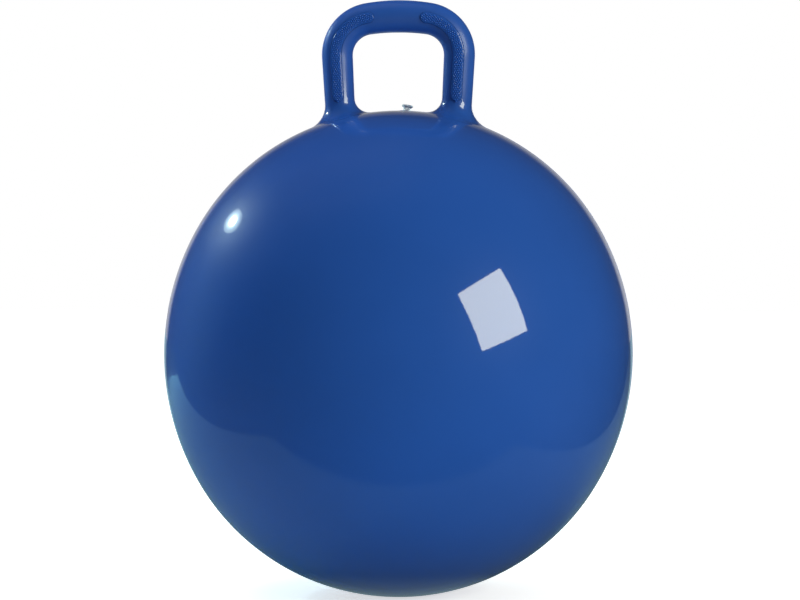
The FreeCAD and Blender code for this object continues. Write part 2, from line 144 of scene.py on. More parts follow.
class HopperPadSizes(bpy.types.PropertyGroup):
    pad_width: length("Pad width", "Across a grip strip", 0.011)
    pad_height: length("Pad height", "How far a strip stands out of the handle", 0.0013)
    pad_edge: length("Pad edge", "Width of the strip's rounded edge", 0.0010)
    pad_gap: length("Pad gap", "Between the tips of the two strips on the bar", 0.044)
    pad_foot_rise: length("Pad foot rise", "From the crown up to the strip's lower end", 0.008)
    bump_pitch: length("Bump pitch", "Between the small grip domes", 0.0021)
    bump_width: length("Bump width", "Across one dome", 0.0016)
    bump_height: length("Bump height", "How far a dome stands out of its strip", 0.0007)


class HopperValveSizes(bpy.types.PropertyGroup):
    valve_back: length("Valve back", "How far the valve sits behind the crown", 0.035)
    valve_side: length("Valve side", "How far the valve sits to the side", 0.0045)
    valve_lean: angle("Valve lean", "How far the valve leans to the side", 8)
    hole_width: length("Hole width", "The hole in the skin", 0.0161)
    seat_width: length("Seat width", "Across the bush where it passes the skin", 0.016)
    boss_depth: length("Boss depth", "How thick the skin is round the bush", 0.0045)
    collar_height: length("Collar height", "How far the bush stands out of the skin", 0.0025)
    flange_width: length("Flange width", "Across the flange under the skin", 0.022)
    flange_thickness: length("Flange thickness", "Of the flange under the skin", 0.0016)
    tail_width: length("Tail width", "Across the bush's inner end", 0.012)
    tail_length: length("Tail length", "Of the bush's inner end", 0.007)
    bore_width: length("Bore width", "Inside the bush", 0.0077)
    neck_width: length("Neck width", "Across the plug's neck", 0.0068)
    ring_width: length("Ring width", "Across the plug's sealing rings", 0.0076)
    head_width: length("Head width", "Across the plug's head", 0.0105)
    head_thickness: length("Head thickness", "Of the plug's head", 0.0015)
    head_flare: length("Head flare", "Height of the cone under the head", 0.0012)
    plug_proud: length("Plug proud", "From the skin to the underside of the head", 0.0075)
    plug_length: length("Plug length", "From the head's underside to the tip", 0.018)
    tip_width: length("Tip width", "Across the plug's tip", 0.0046)
    tip_length: length("Tip length", "Of the plug's coned tip", 0.003)


class HopperColours(bpy.types.PropertyGroup):
    vinyl: colour("Vinyl", "The ball's own blue", "#2250A5")
    bush: colour("Bush", "The valve bush, a shade deeper", "#22488A")
    plug: colour("Plug", "The milky white of the plug", "#ECEEF0")
    floor: colour("Floor", "The studio's pale floor", "#E4E4E2")


class HopperStage(bpy.types.PropertyGroup):
    camera_turn: angle("Camera turn", "How far round the ball the camera stands", 5)
    camera_distance: length("Camera distance", "From the ball's axis", 2.6)
    camera_height: length("Camera height", "Above the floor", 0.390)
    aim_height: length("Aim height", "The height that the camera looks at", 0.285)
    pixels_per_metre: bpy.props.FloatProperty(
        name="Pixels per metre", description="Scale of the photograph on the ball's axis", default=1040.5)


# ---- the ball's and the handle's shapes, as distances ----

class BallForm:
    """The ball's outline: a crown arc above and a base arc below, joined by the flatter arc of the belt."""

    def __init__(self, sizes):
        self.belt_angle = sizes.belt_angle
        self.half_height = sizes.ball_height / 2
        self.half_width = sizes.ball_width / 2
        self.rise = (self.half_height - self.half_width) / (1 - math.tan(self.belt_angle / 2))
        self.belt_offset = self.rise / math.tan(self.belt_angle)
        self.belt_radius = self.half_width + self.belt_offset
        self.crown_radius = self.belt_radius - self.rise / math.sin(self.belt_angle)
        rest_depth = self.crown_radius - math.sqrt(self.crown_radius ** 2 - (sizes.rest_width / 2) ** 2)
        self.middle = self.half_height - rest_depth
        self.crown_centre = self.middle + self.rise
        self.crown_top = self.crown_centre + self.crown_radius

    def distance(self, x, y, z):
        """How far points lie outside the ball, negative inside."""
        across = np.hypot(x, y)
        height = np.abs(z - self.middle)
        on_belt = np.arctan2(height, across + self.belt_offset) <= self.belt_angle
        to_belt = np.hypot(across + self.belt_offset, height) - self.belt_radius
        to_crown = np.hypot(across, height - self.rise) - self.crown_radius
        return np.where(on_belt, to_belt, to_crown)

    def height_at(self, across):
        """The crown's height at a distance from the ball's axis."""
        return self.crown_centre + math.sqrt(self.crown_radius ** 2 - across ** 2)


class HandlePath:
    """The tube's centreline on the right half: a leaning leg, a bend, and half the arched bar."""

    def __init__(self, sizes, ball):
        splay = sizes.leg_splay
        self.bend_radius = sizes.bend_radius
        self.bar_radius = sizes.bar_radius
        self.bar_centre = ball.crown_top + sizes.handle_rise - sizes.bar_radius
        # the bend touches both the leg's line and the bar's arc
        reach = sizes.bar_radius - sizes.bend_radius
        side = sizes.handle_spacing / 2 - sizes.bend_radius * math.cos(splay)
        lift = sizes.bend_radius * math.sin(splay) + sizes.bar_radius - sizes.handle_rise
        run = side * math.sin(splay) + lift * math.cos(splay)
        bend_run = math.sqrt(run ** 2 + reach ** 2 - side ** 2 - lift ** 2) - run
        self.bend_x = side + bend_run * math.sin(splay)
        self.bend_z = self.bar_centre + lift + bend_run * math.cos(splay)
        self.bend_from = -splay
        self.bend_to = math.atan2(self.bend_z - self.bar_centre, self.bend_x)
        self.leg_way = np.array([math.sin(splay), math.cos(splay)])
        leg_top = np.array([self.bend_x + sizes.bend_radius * math.cos(splay),
                            self.bend_z - sizes.bend_radius * math.sin(splay)])
        foot_reach = sizes.handle_spacing / 2 + sizes.foot_thickness
        sunk = ball.crown_top - ball.height_at(foot_reach) + sizes.foot_thickness / 2
        self.leg_length = (leg_top[1] - ball.crown_top + sunk) / math.cos(splay)
        self.leg_foot = leg_top - self.leg_way * self.leg_length
        self.bend_end = self.leg_length + sizes.bend_radius * (self.bend_to - self.bend_from)
        self.top = self.bend_end + sizes.bar_radius * (math.pi / 2 - self.bend_to)
        self.stations = [0, self.leg_length, self.bend_end, self.top]
        self.radii = [sizes.foot_thickness / 2, sizes.leg_thickness / 2,
                      (sizes.leg_thickness + sizes.bar_thickness) / 4, sizes.bar_thickness / 2]

    def radius(self, along):
        return np.interp(along, self.stations, self.radii)

    def at(self, along):
        """The points of the centreline a distance along it, and the ways out of the loop there, as (x, z)."""
        along = np.asarray(along, dtype=float)[..., None]
        stretches = [along < self.leg_length, along < self.bend_end]
        bend_turn = self.bend_from + (along - self.leg_length) / self.bend_radius
        bar_turn = self.bend_to + (along - self.bend_end) / self.bar_radius
        turn = np.select(stretches, [self.bend_from, bend_turn], bar_turn)
        out = np.concatenate([np.cos(turn), np.sin(turn)], axis=-1)
        on_leg = self.leg_foot + self.leg_way * along
        on_bend = np.array([self.bend_x, self.bend_z]) + self.bend_radius * out
        on_bar = np.array([0, self.bar_centre]) + self.bar_radius * out
        return np.select(stretches, [on_leg, on_bend], on_bar), out

    def distance(self, x, y, z):
        """How far points lie outside the tube, negative inside."""
        x = np.abs(x)
        up_leg = (x - self.leg_foot[0]) * self.leg_way[0] + (z - self.leg_foot[1]) * self.leg_way[1]
        bend_turn = np.clip(np.arctan2(z - self.bend_z, x - self.bend_x), self.bend_from, self.bend_to)
        bar_turn = np.clip(np.arctan2(z - self.bar_centre, x), self.bend_to, math.pi / 2)
        # the nearest places on the leg, on the bend and on the bar
        tries = [
            np.clip(up_leg, 0, self.leg_length),
            self.leg_length + self.bend_radius * (bend_turn - self.bend_from),
            self.bend_end + self.bar_radius * (bar_turn - self.bend_to),
        ]
        nearest = np.full(x.shape, np.inf)
        for along in tries:
            place, _ = self.at(np.minimum(along, self.top))
            gap = np.sqrt((x - place[..., 0]) ** 2 + (z - place[..., 1]) ** 2 + y ** 2) - self.radius(along)
            nearest = np.minimum(nearest, gap)
        return nearest


class SkinForm:
    """The ball and its handle as one moulded surface, with a round flare where they meet."""

    def __init__(self, sizes):
        self.ball = BallForm(sizes)
        self.handle = HandlePath(sizes, self.ball)
        self.fillet = sizes.foot_fillet
        self.inset = sizes.skin_inset

    def distance(self, points):
        x, y, z = points.T
        to_ball = self.ball.distance(x, y, z) + self.inset
        to_handle = self.handle.distance(x, y, z) + self.inset
        near_both = np.hypot(np.maximum(self.fillet - to_ball, 0), np.maximum(self.fillet - to_handle, 0))
        return np.maximum(self.fillet, np.minimum(to_ball, to_handle)) - near_both

    def slope(self, points):
        """Which way is out at each point, as unit vectors."""
        slopes = np.empty_like(points)
        for axis in range(3):
            step = np.zeros(3)
            step[axis] = STEP
            slopes[:, axis] = self.distance(points + step) - self.distance(points - step)
        return slopes / np.linalg.norm(slopes, axis=1, keepdims=True)

    def settle(self, points):
        """Moves points onto the surface, each along its own way out."""
        for _ in range(SETTLE_ROUNDS):
            points = points - self.slope(points) * self.distance(points)[:, None]
        return points


def valve_place(sizes, ball):
    """The valve's frame: its origin on the crown, its axis out of the ball, leaning to the side."""
    back = -math.asin(sizes.valve_back / ball.crown_radius)
    side = math.asin(sizes.valve_side / ball.crown_radius)
    return (Matrix.Translation((0, 0, ball.crown_centre)) @ Matrix.Rotation(back, 4, "X")
            @ Matrix.Rotation(side, 4, "Y") @ Matrix.Translation((0, 0, ball.crown_radius))
            @ Matrix.Rotation(sizes.valve_lean, 4, "Y"))


# ---- modelling by hand, in code ----

def deselect_all():
    for thing in bpy.context.selected_objects:
        thing.select_set(False)


def make_active(thing):
    deselect_all()
    thing.select_set(True)
    bpy.context.view_layer.objects.active = thing


def add_object(name, data):
    """Puts a mesh, a lamp or a camera in the scene."""
    thing = bpy.data.objects.new(name, data)
    bpy.context.scene.collection.objects.link(thing)
    return thing


def edit(thing, kind="FACE", select="DESELECT"):
    make_active(thing)
    bpy.ops.object.mode_set(mode="EDIT")
    bpy.ops.mesh.select_mode(type=kind)
    bpy.ops.mesh.select_all(action=select)
    return bmesh.from_edit_mesh(thing.data)


def stop_editing():
    bpy.ops.object.mode_set(mode="OBJECT")


def face_outward(thing):
    edit(thing, select="SELECT")
    bpy.ops.mesh.normals_make_consistent(inside=False)
    stop_editing()


def apply_modifier(thing, kind, **settings):
    make_active(thing)
    modifier = thing.modifiers.new(kind.lower(), kind)
    for name, value in settings.items():
        setattr(modifier, name, value)
    bpy.ops.object.modifier_apply(modifier=modifier.name)


def corner_array(thing):
    """The mesh's points as an array."""
    places = np.empty(len(thing.data.vertices) * 3, dtype=np.float32)
    thing.data.vertices.foreach_get("co", places)
    return places.reshape(-1, 3).astype(float)


def set_corners(thing, places):
    thing.data.vertices.foreach_set("co", places.astype(np.float32).ravel())
    thing.data.update()


def finish_mesh(thing, material, body, slot, *nodes):
    """The finish, and what the piece rides on and stands for."""
    thing.data.materials.clear()
    thing.data.materials.append(material)
    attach(thing, body)
    if nodes:
        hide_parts(*nodes)


def delete_faces(thing, chosen):
    """Deletes the faces whose middle passes the test."""
    shape = edit(thing)
    for face in shape.faces:
        face.select_set(chosen(face.calc_center_median()))
    bmesh.update_edit_mesh(thing.data)
    bpy.ops.mesh.delete(type="FACE")
    stop_editing()


def select_rim(thing, near):
    """Selects just the open edges whose middle passes the test."""
    bpy.ops.mesh.select_all(action="DESELECT")
    shape = bmesh.from_edit_mesh(thing.data)
    for edge in shape.edges:
        middle = (edge.verts[0].co + edge.verts[1].co) / 2
        if edge.is_boundary and near(middle):
            edge.select_set(True)
    bmesh.update_edit_mesh(thing.data)


def walk_loop(shape):
    """The selected loop's points in the order in which its edges join them."""
    edges = [edge for edge in shape.edges if edge.select]
    point = edges[0].verts[0]
    loop = []
    while edges:
        edge = next(edge for edge in edges if point in edge.verts)
        edges.remove(edge)
        loop.append(point)
        point = edge.other_vert(point)
    return loop


def round_loop(thing, centre, axis, radius):
    """Sets the selected loop's points evenly on a circle, each as near its own heading as that allows."""
    shape = bmesh.from_edit_mesh(thing.data)
    turn = axis.to_track_quat("Z", "Y")
    loop = walk_loop(shape)
    flat = [turn.inverted() @ (point.co - centre) for point in loop]
    area = sum(a.x * b.y - b.x * a.y for a, b in zip(flat, flat[1:] + flat[:1]))
    share = math.copysign(2 * math.pi / len(loop), area)
    offsets = [math.atan2(spot.y, spot.x) - place * share for place, spot in enumerate(flat)]
    start = math.atan2(sum(map(math.sin, offsets)), sum(map(math.cos, offsets)))
    for place, point in enumerate(loop):
        heading = start + place * share
        point.co = centre + turn @ Vector((math.cos(heading), math.sin(heading), 0)) * radius
    bmesh.update_edit_mesh(thing.data)


def extrude_loop(thing, centre, axis, radius):
    """One more ring of faces off the selected loop."""
    bpy.ops.mesh.extrude_region_move(TRANSFORM_OT_translate={"value": (0, 0, 0)})
    round_loop(thing, centre, axis, radius)


def distance_from_line(point, start, way):
    """How far a point lies from a line."""
    return (point - start).cross(way).length


# ---- the skin ----

def add_shell(ball):
    """The right half of a cube cut fine and cast to a sphere: even quads with no poles."""
    deselect_all()
    bpy.ops.mesh.primitive_cube_add(size=2 * ball.half_width)
    shell = bpy.context.object
    shell.name = "hollow_skin"
    edit(shell, select="SELECT")
    bpy.ops.mesh.subdivide(number_cuts=SHELL_FACES - 1)
    stop_editing()
    apply_modifier(shell, "CAST", cast_type="SPHERE", factor=1.0, use_radius_as_size=False,
                   size=ball.half_width)
    delete_faces(shell, lambda middle: middle.x < 0)
    edit(shell, select="SELECT")
    bpy.ops.transform.resize(value=(1, 1, ball.half_height / ball.half_width), center_override=(0, 0, 0))
    bpy.ops.transform.translate(value=(0, 0, ball.middle))
    stop_editing()
    return shell


def grow_handle(shell, form):
    """Opens the crown round the leg and draws the tube out of it: flare, leg, bend and half the bar."""
    handle = form.handle
    spacing = handle.leg_foot[0] + (form.ball.crown_top - handle.leg_foot[1]) * handle.leg_way[0]
    foot = Vector((spacing, 0, form.ball.height_at(spacing)))
    normal = (foot - Vector((0, 0, form.ball.crown_centre))).normalized()
    leg_way = Vector((handle.leg_way[0], 0, handle.leg_way[1]))
    tube = handle.radii[0]
    flare_reach = tube + form.fillet
    opening = flare_reach * CLEAR_OF_FLARE
    delete_faces(shell, lambda middle: middle.z > foot.z - flare_reach
                 and distance_from_line(middle, foot, normal) < opening)
    edit(shell, "EDGE")
    # only the opening's rim, not the open edge on the middle plane
    select_rim(shell, lambda middle: middle.x > MM
               and distance_from_line(middle, foot, normal) < 2 * opening)
    round_loop(shell, foot, normal, opening * CLEAR_OF_OPENING)
    leg_top = Vector((handle.leg_foot[0], 0, handle.leg_foot[1])) + leg_way * handle.leg_length
    for ring in range(FLARE_RINGS):
        turn = math.pi / 2 * ring / (FLARE_RINGS - 1)
        rise = form.fillet * (1 - math.cos(turn))
        radius = tube + form.fillet * (1 - math.sin(turn))
        way = normal.lerp(leg_way, ring / (FLARE_RINGS - 1)).normalized()
        extrude_loop(shell, foot + leg_way * rise, way, radius)
    flare_top = foot + leg_way * form.fillet
    for ring in range(1, LEG_RINGS + 1):
        extrude_loop(shell, flare_top.lerp(leg_top, ring / LEG_RINGS), leg_way, tube)
    bend = handle.bend_to - handle.bend_from
    bpy.ops.mesh.spin(steps=BEND_STEPS, angle=bend, center=(handle.bend_x, 0, handle.bend_z), axis=(0, 1, 0))
    arch = math.pi / 2 - handle.bend_to
    bpy.ops.mesh.spin(steps=BAR_STEPS, angle=arch, center=(0, 0, handle.bar_centre), axis=(0, 1, 0))
    stop_editing()


def mirror_shell(shell):
    """Joins the right half to its mirror image, with the middle edges exactly on the middle plane."""
    places = corner_array(shell)
    places[np.abs(places[:, 0]) < NEAR_MIDDLE, 0] = 0
    set_corners(shell, places)
    apply_modifier(shell, "MIRROR", use_axis=(True, False, False), use_clip=True,
                   merge_threshold=NEAR_MIDDLE / 5)


def open_valve_hole(shell, form, sizes):
    """A round hole for the valve's bush, with an even band of faces round it."""
    place = valve_place(sizes, form.ball)
    origin = place.translation
    axis = (place.to_3x3() @ UP).normalized()
    hole = sizes.hole_width / 2
    delete_faces(shell, lambda middle: middle.z > origin.z - hole
                 and distance_from_line(middle, origin, axis) < HOLE_OPENING * hole)
    edit(shell, "EDGE")
    # the rim is rounded, cut finer, and rounded again
    for cuts in (HOLE_CUTS, 0):
        select_rim(shell, lambda middle: (middle - origin).length < 3 * hole)
        round_loop(shell, origin, axis, HOLE_RINGS[0] * hole)
        if cuts:
            bpy.ops.mesh.subdivide(number_cuts=cuts)
    for share in HOLE_RINGS[1:]:
        extrude_loop(shell, origin, axis, share * hole)
    stop_editing()


def flatten_rest(places):
    """Presses the underside to the floor with a soft edge."""
    places[:, 2] = (places[:, 2] + np.sqrt(places[:, 2] ** 2 + REST_SOFTNESS ** 2)) / 2
    return places


def build_skin(sizes, valve_sizes):
    form = SkinForm(sizes)
    skin = add_shell(form.ball)
    grow_handle(skin, form)
    mirror_shell(skin)
    open_valve_hole(skin, form, valve_sizes)
    set_corners(skin, flatten_rest(form.settle(corner_array(skin))))
    face_outward(skin)
    return skin


def build_seam(skin, sizes):
    """The fine raised line where the halves of the mould met: a thin band cut from the skin and lifted."""
    make_active(skin)
    bpy.ops.object.duplicate()
    seam = bpy.context.object
    seam.name = "mould_seam"
    half = sizes.seam_width / 2
    edit(seam)
    for side in (1, -1):
        bpy.ops.mesh.select_all(action="SELECT")
        bpy.ops.mesh.bisect(plane_co=(0, side * half, 0), plane_no=(0, side, 0), clear_outer=True)
    stop_editing()
    form = SkinForm(sizes)
    places = corner_array(seam)
    lifted = places + form.slope(places) * sizes.seam_height
    lifted[:, 2] = np.maximum(lifted[:, 2], places[:, 2].min())
    set_corners(seam, lifted)
    apply_modifier(seam, "SOLIDIFY", thickness=2 * sizes.seam_height, offset=-1)
    return seam


# ---- the grip strips ----

def strip_outline(along, total, half):
    """Half the strip's width at distances along it: round-ended."""
    from_end = np.minimum(along, total - along)
    return np.sqrt(np.maximum(half ** 2 - np.maximum(half - from_end, 0) ** 2, 0))


def lay_on_handle(places, form, start, side, face):
    """Wraps flat places (along, across, height) round the handle, on one side and one face of it."""
    handle = form.handle
    centre, out = handle.at(start - places[:, 0])
    radius = handle.radius(start - places[:, 0]) - form.inset + places[:, 2]
    across = places[:, 1]
    deep = np.sqrt(radius ** 2 - across ** 2)
    x = centre[:, 0] + out[:, 0] * across
    z = centre[:, 1] + out[:, 1] * across
    return np.stack([side * x, face * deep, z], axis=1)


def strip_reach(form, sizes):
    """Where a strip starts on the bar, and how long it is."""
    handle = form.handle
    start = handle.top - handle.bar_radius * math.asin(sizes.pad_gap / 2 / handle.bar_radius)
    foot_height = form.ball.crown_top + sizes.pad_foot_rise
    end = (foot_height - handle.leg_foot[1]) / handle.leg_way[1]
    return start, start - end


def strip_surface(total, sizes):
    """The strip's smooth top, flat: a grid whose ends close to a point and whose edges roll down."""
    deselect_all()
    along_cells, across_cells = STRIP_CELLS
    bpy.ops.mesh.primitive_grid_add(x_subdivisions=along_cells, y_subdivisions=across_cells, size=2)
    strip = bpy.context.object
    places = corner_array(strip)
    half = sizes.pad_width / 2
    # more rows near the rolled edges and the round ends
    along = total * (1 - np.cos(np.pi * (places[:, 0] + 1) / 2)) / 2
    across = np.sin(np.pi / 2 * places[:, 1]) * strip_outline(along, total, half)
    from_end = np.minimum(along, total - along)
    centre_gap = np.hypot(across, np.maximum(half - from_end, 0))
    to_edge = np.clip((half - centre_gap) / sizes.pad_edge, 0, 1)
    height = sizes.pad_height * np.sqrt(1 - (1 - to_edge) ** 2)
    set_corners(strip, np.stack([along, across, height], axis=1))
    edit(strip, select="SELECT")
    bpy.ops.mesh.remove_doubles(threshold=WELD)
    stop_editing()
    return strip


def bump_shape(sizes):
    """One small closed dome, its lower half sunk in the strip."""
    deselect_all()
    segments, rings = DOME_CELLS
    bpy.ops.mesh.primitive_uv_sphere_add(segments=segments, ring_count=rings, radius=1)
    bump = bpy.context.object
    places = corner_array(bump) * [sizes.bump_width / 2, sizes.bump_width / 2, sizes.bump_height]
    faces = [list(face.vertices) for face in bump.data.polygons]
    bpy.data.objects.remove(bump)
    return places, faces


def bump_places(total, sizes):
    """Staggered rows of domes that stay inside the strip's rolled edge."""
    half = sizes.pad_width / 2
    pitch = sizes.bump_pitch
    row_gap = pitch * math.sqrt(3) / 2
    margin = sizes.pad_edge + sizes.bump_width * BUMP_MARGIN
    count = int(half / pitch) + 1
    places = []
    for row in range(int(total / row_gap) + 1):
        along = row * row_gap
        room = strip_outline(along, total, half) - margin
        for column in range(-count, count + 1):
            across = column * pitch + pitch / 2 * (row % 2)
            if abs(across) <= room:
                places.append((along, across, sizes.pad_height))
    return np.array(places)


def bump_field(total, sizes):
    """All the domes of one strip, flat. They are drawn coarser than the finest real ones, so that they
    show in a picture of the whole ball."""
    corners, faces = bump_shape(sizes)
    spots = bump_places(total, sizes)
    places = (spots[:, None, :] + corners).reshape(-1, 3)
    all_faces = [[corner + number * len(corners) for corner in face]
                 for number in range(len(spots)) for face in faces]
    mesh = bpy.data.meshes.new("bumps")
    mesh.from_pydata(places, [], all_faces)
    return add_object("bumps", mesh)


def mark_relief(thing, heights):
    """Keeps each point's height above the tube, from 0 to 1, for the finish to read."""
    relief = thing.data.attributes.new("relief", "FLOAT", "POINT")
    relief.data.foreach_set("value", np.clip(heights, 0, 1).astype(np.float32))


def turn_out(sheet, way):
    """Flips an open sheet whose faces look away from a direction."""
    lean = sum(face.normal.dot(way) * face.area for face in sheet.data.polygons)
    if lean < 0:
        edit(sheet, select="SELECT")
        bpy.ops.mesh.flip_normals()
        stop_editing()


def lay_pad(name, flat_strip, flat_bumps, form, start, sizes, side, face):
    """Copies the flat strip and its domes, and lays them on one side and one face of the handle."""
    strip = add_object(name, flat_strip.data.copy())
    bumps = add_object("bumps", flat_bumps.data.copy())
    for sheet in (strip, bumps):
        set_corners(sheet, lay_on_handle(corner_array(sheet), form, start, side, face))
        face_outward(sheet)
    turn_out(strip, Vector((0, face, 0)))
    # the strip's underside lies inside the tube
    apply_modifier(strip, "SOLIDIFY", thickness=1.5 * sizes.pad_height, offset=-1)
    make_active(strip)
    bumps.select_set(True)
    bpy.ops.object.join()
    bpy.ops.object.shade_smooth()
    return strip


def build_pads(skin_sizes, sizes):
    """The four grip strips: one is modelled flat, and a copy is laid on each side and face."""
    form = SkinForm(skin_sizes)
    start, total = strip_reach(form, sizes)
    flat_strip = strip_surface(total, sizes)
    flat_bumps = bump_field(total, sizes)
    for flat in (flat_strip, flat_bumps):
        mark_relief(flat, corner_array(flat)[:, 2] / (sizes.pad_height + sizes.bump_height))
    pads = []
    for side, side_name in ((1, "right"), (-1, "left")):
        for face, face_name in ((-1, "front"), (1, "back")):
            name = f"grip_pad_{face_name}_{side_name}"
            pads.append(lay_pad(name, flat_strip, flat_bumps, form, start, sizes, side, face))
    for flat in (flat_strip, flat_bumps):
        bpy.data.objects.remove(flat)
    return pads


# ---- the valve ----

def turned_form(name, corners, place, rounding):
    """A solid turned about the valve's axis from corners of (radius, height), with its edges rounded."""
    mesh = bpy.data.meshes.new(name)
    points = [(radius, 0, height) for radius, height in corners]
    edges = [(n, n + 1) for n in range(len(points) - 1)]
    starts_on_axis = corners[0][0] == 0
    if not starts_on_axis:
        edges.append((len(points) - 1, 0))
    mesh.from_pydata(points, edges, [])
    thing = add_object(name, mesh)
    edit(thing, "EDGE", "SELECT")
    bpy.ops.mesh.spin(steps=TURN_STEPS, angle=2 * math.pi, center=(0, 0, 0), axis=(0, 0, 1))
    bpy.ops.mesh.select_all(action="SELECT")
    bpy.ops.mesh.remove_doubles(threshold=WELD)
    stop_editing()
    face_outward(thing)
    apply_modifier(thing, "BEVEL", width=rounding, segments=4, limit_method="ANGLE",
                   angle_limit=SHARP_EDGE, use_clamp_overlap=True)
    thing.data.transform(place)
    make_active(thing)
    bpy.ops.object.shade_smooth_by_angle(angle=SMOOTH_EDGE)
    return thing


def build_seat(place, sizes):
    """The soft bush: a collar outside, a barrel through the skin, a flange under its boss and a tail."""
    bore = sizes.bore_width / 2
    seat = sizes.seat_width / 2
    flange = sizes.flange_width / 2
    tail = sizes.tail_width / 2
    top = sizes.collar_height
    flange_top = -sizes.boss_depth
    flange_bottom = flange_top - sizes.flange_thickness
    tail_bottom = flange_bottom - sizes.tail_length
    chamfer = 0.6 * MM
    # the collar's shoulder falls in two slopes
    shoulder_width = 1.0 * MM
    shoulder_height = 1.2 * MM
    turn_width = 0.3 * MM
    turn_drop = 0.35 * MM
    corners = [
        (bore + chamfer, top),
        (seat - shoulder_width, top),
        (seat - turn_width, top - turn_drop),
        (seat, top - shoulder_height),
        (seat, flange_top),
        (flange, flange_top),
        (flange, flange_bottom),
        (tail, flange_bottom),
        (tail, tail_bottom),
        (bore, tail_bottom),
        (bore, top - chamfer),
    ]
    return turned_form("soft_bush", corners, place, rounding=0.25 * MM)


def build_plug(place, sizes):
    """The push-in plug: a dished head, a neck, two sealing rings and a coned tip."""
    neck = sizes.neck_width / 2
    ring = sizes.ring_width / 2
    head = sizes.head_width / 2
    head_top = sizes.plug_proud + sizes.head_thickness
    tip_bottom = sizes.plug_proud - sizes.plug_length
    tip_top = tip_bottom + sizes.tip_length
    # each ring has a flat land and a cone below it
    ring_length = 1.6 * MM
    ring_land = 0.6 * MM
    lower_ring = tip_top + 1.0 * MM
    upper_ring = lower_ring + 4.5 * MM
    dish_depth = 0.3 * MM
    dish_floor = 0.62 * head
    dish_rim = 0.72 * head
    rim_width = 0.25 * MM
    rim_drop = 0.4 * MM
    corners = [
        (0, head_top - dish_depth),
        (dish_floor, head_top - dish_depth),
        (dish_rim, head_top),
        (head - rim_width, head_top),
        (head, head_top - rim_drop),
        (head, sizes.plug_proud),
        (neck, sizes.plug_proud - sizes.head_flare),
    ]
    for bottom in (upper_ring, lower_ring):
        corners += [
            (neck, bottom + ring_length),
            (ring, bottom + ring_length),
            (ring, bottom + ring_length - ring_land),
            (neck, bottom),
        ]
    corners += [(neck, tip_top), (sizes.tip_width / 2, tip_bottom), (0, tip_bottom)]
    return turned_form("push_in_plug", corners, place, rounding=0.15 * MM)


# ---- finishes ----

def add_node(tree, kind, settings=None, links=None):
    """Adds a shader node, sets its properties and sockets, and links nodes or outputs to its sockets. A
    socket goes by name, or by number where names repeat. A linked node gives its first output, and a
    source without a socket goes to the first one."""
    node = tree.nodes.new("ShaderNode" + kind)
    if links and not isinstance(links, dict):
        links = {0: links}
    for name, value in (settings or {}).items():
        if isinstance(name, int) or name in node.inputs:
            node.inputs[name].default_value = value
        else:
            setattr(node, name, value)
    for name, source in (links or {}).items():
        if isinstance(source, bpy.types.Node):
            source = next(output for output in source.outputs if output.enabled)
        tree.links.new(source, node.inputs[name])
    return node


def empty_tree(owner):
    """Clears a material's or a world's node tree, and gives the call that adds nodes to it."""
    owner.use_nodes = True
    owner.node_tree.nodes.clear()
    return partial(add_node, owner.node_tree)


def make_material(finish, *settings):
    """A material named after the function that adds its nodes and returns its shader. That function gets
    the call that adds nodes, and the Object coordinates that every pattern here follows."""
    material = bpy.data.materials.new(finish.__name__)
    node = empty_tree(material)
    place = node("TexCoord").outputs["Object"]
    node("OutputMaterial", None, finish(node, place, *settings))
    return material


def per_metre(millimetres):
    """The scale that makes a pattern of Object coordinates repeat every so many millimetres."""
    return 1 / (millimetres * MM)


def opaque(rgb, share=1.0):
    """A share of a colour, with the alpha that a colour socket takes."""
    return [min(value * share, 1) for value in rgb] + [1]


